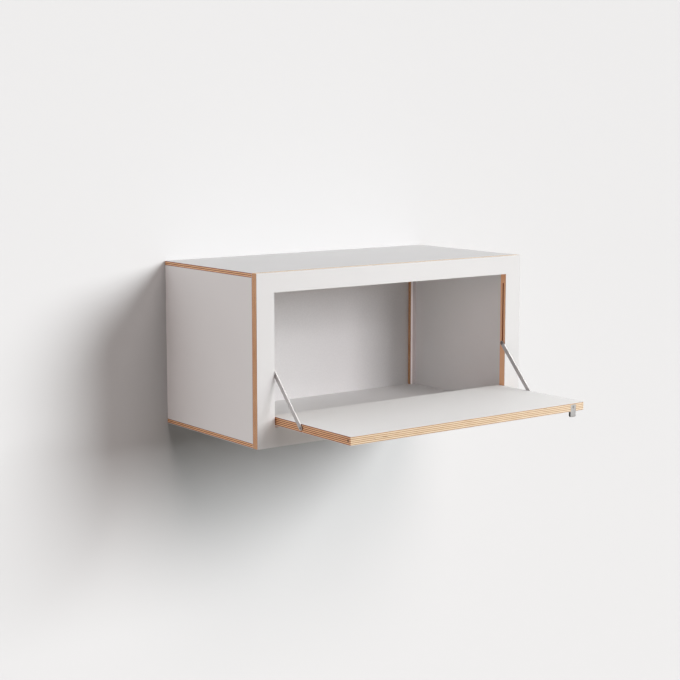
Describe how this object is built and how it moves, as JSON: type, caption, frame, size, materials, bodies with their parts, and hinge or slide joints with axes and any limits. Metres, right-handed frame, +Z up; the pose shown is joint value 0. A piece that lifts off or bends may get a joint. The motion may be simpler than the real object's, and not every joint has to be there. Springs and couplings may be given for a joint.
{
  "type": "secretary desk",
  "caption": "Wall-hung secretary desk: laminated plywood box with a face frame and a drop-down writing flap held level by two slotted metal stays.",
  "frame": {"origin": "on the wall plane, at the centre of the four wall-fixing holes in the hanging rail", "axes": "+X to the desk's right as seen from the front, +Y into the wall, +Z up"},
  "size_m": [0.8, 0.6791, 0.4],
  "materials": {
    "white_laminate": "matt white high-pressure laminate",
    "birch_ply": "birch plywood, clear-lacquered edges",
    "back_board": "thin white-faced board",
    "beech": "beech dowel",
    "satin_steel": "satin stainless steel",
    "zinc_steel": "zinc-plated steel",
    "magnet": "nickel-plated magnet",
    "bush_plastic": "black acetal"
  },
  "bodies": {
    "cabinet": {"frame_dowels": "beech", "corner_dowels": "beech", "rail_dowels": "beech", "back_panel_screws": "zinc_steel", "top_panel_core": "birch_ply", "top_panel_laminates": "white_laminate", "bottom_panel_core": "birch_ply", "bottom_panel_laminates": "white_laminate", "left_side_core": "birch_ply", "left_side_laminates": "white_laminate", "right_side_core": "birch_ply", "right_side_laminates": "white_laminate", "catch_magnet": "magnet", "front_frame_core": "birch_ply", "front_frame_laminates": "white_laminate", "back_panel": "back_board", "left_back_batten": "birch_ply", "right_back_batten": "birch_ply", "back_batten_laminates": "white_laminate", "hanging_rail": "birch_ply", "hinge_pin_left": "satin_steel", "hinge_pin_right": "satin_steel"},
    "flap": {"flap_core": "birch_ply", "flap_laminates": "white_laminate", "finger_pull": "satin_steel", "finger_pull_screw": "satin_steel", "hinge_bush_left": "bush_plastic", "stay_pivot_screw_left": "satin_steel", "stay_washer_left": "bush_plastic", "hinge_bush_right": "bush_plastic", "stay_pivot_screw_right": "satin_steel", "stay_washer_right": "bush_plastic"},
    "stay_left": {"stay_left": "satin_steel", "stay_rivet_left": "satin_steel"},
    "slider_left": {"slider_left": "satin_steel"},
    "stay_right": {"stay_right": "satin_steel", "stay_rivet_right": "satin_steel"},
    "slider_right": {"slider_right": "satin_steel"}
  },
  "joints": [
    {"name": "flap_hinge", "type": "hinge", "parent": "cabinet", "child": "flap", "pos_m": [0, -0.388, -0.2898], "axis": [-1, 0, 0], "range_deg": [0, 90]},
    {"name": "stay_left_pivot", "type": "hinge", "parent": "flap", "child": "stay_left", "pos_m": [-0.351, -0.4966, -0.2898], "axis": [1, 0, 0], "range_deg": [0, 132.6]},
    {"name": "slider_left_slide", "type": "slide", "parent": "cabinet", "child": "slider_left", "axis": [0, 0, 1], "range_m": [0, 0.15094]},
    {"name": "stay_right_pivot", "type": "hinge", "parent": "flap", "child": "stay_right", "pos_m": [0.351, -0.4966, -0.2898], "axis": [1, 0, 0], "range_deg": [0, 132.6]},
    {"name": "slider_right_slide", "type": "slide", "parent": "cabinet", "child": "slider_right", "axis": [0, 0, 1], "range_m": [0, 0.15094]}
  ],
  "couplings": [
    {"joint": "stay_left_pivot", "follows": "flap_hinge", "ratio": 1.4731},
    {"joint": "slider_left_slide", "follows": "flap_hinge", "m_per_rad": 0.096076},
    {"joint": "stay_right_pivot", "follows": "flap_hinge", "ratio": 1.4731},
    {"joint": "slider_right_slide", "follows": "flap_hinge", "m_per_rad": 0.096076}
  ]
}
